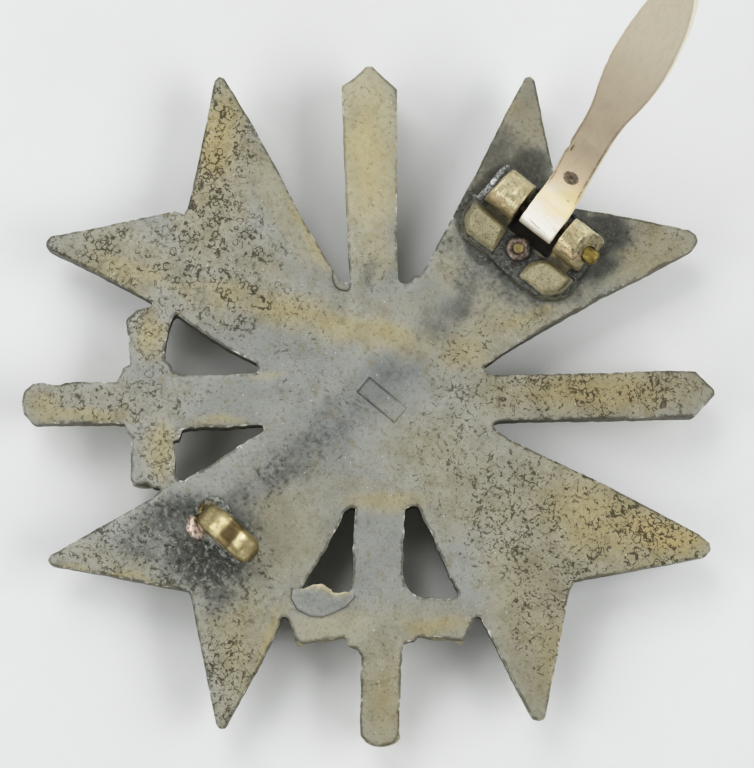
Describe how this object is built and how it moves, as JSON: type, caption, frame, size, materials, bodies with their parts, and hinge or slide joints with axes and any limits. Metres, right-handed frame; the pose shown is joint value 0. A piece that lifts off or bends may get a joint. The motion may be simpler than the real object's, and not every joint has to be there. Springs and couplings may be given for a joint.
{
  "type": "merit cross with crossed swords and pin back",
  "caption": "Two-pointed cross on crossed swords, worn pinned to a coat; lies face down with its hinged pin open over the back.",
  "frame": {"origin": "centre of the flat front of the round medallion, the face that the cross lies on", "axes": "+Z out of the back, the side with the pin; +Y along the arm that carries the hinge, which is up when worn; +X to the right seen from the back"},
  "size_m": [0.0506, 0.0583, 0.04],
  "materials": {
    "zinc": "oxidised zinc with remains of gilding and dark corrosion",
    "worn_brass": "worn silvered brass with solder",
    "copper_rivet": "worn, coppery",
    "brass": "satin",
    "nickel_silver": "pale, slightly pink, satin with a polished barrel",
    "hook_brass": "tarnished, with solder at the foot"
  },
  "bodies": {
    "cross": {"cross_plate": "zinc", "hinge_block": "worn_brass", "block_rivet": "copper_rivet", "hinge_axle": "brass", "catch_hook": "hook_brass"},
    "pin": {"pin_blade": "nickel_silver"}
  },
  "joints": [
    {"name": "pin_hinge", "type": "hinge", "parent": "cross", "child": "pin", "pos_m": [-0.00021, 0.01774, 0.00715], "axis": [0.9945, 0.1045, 0], "range_deg": [0, 116]}
  ]
}
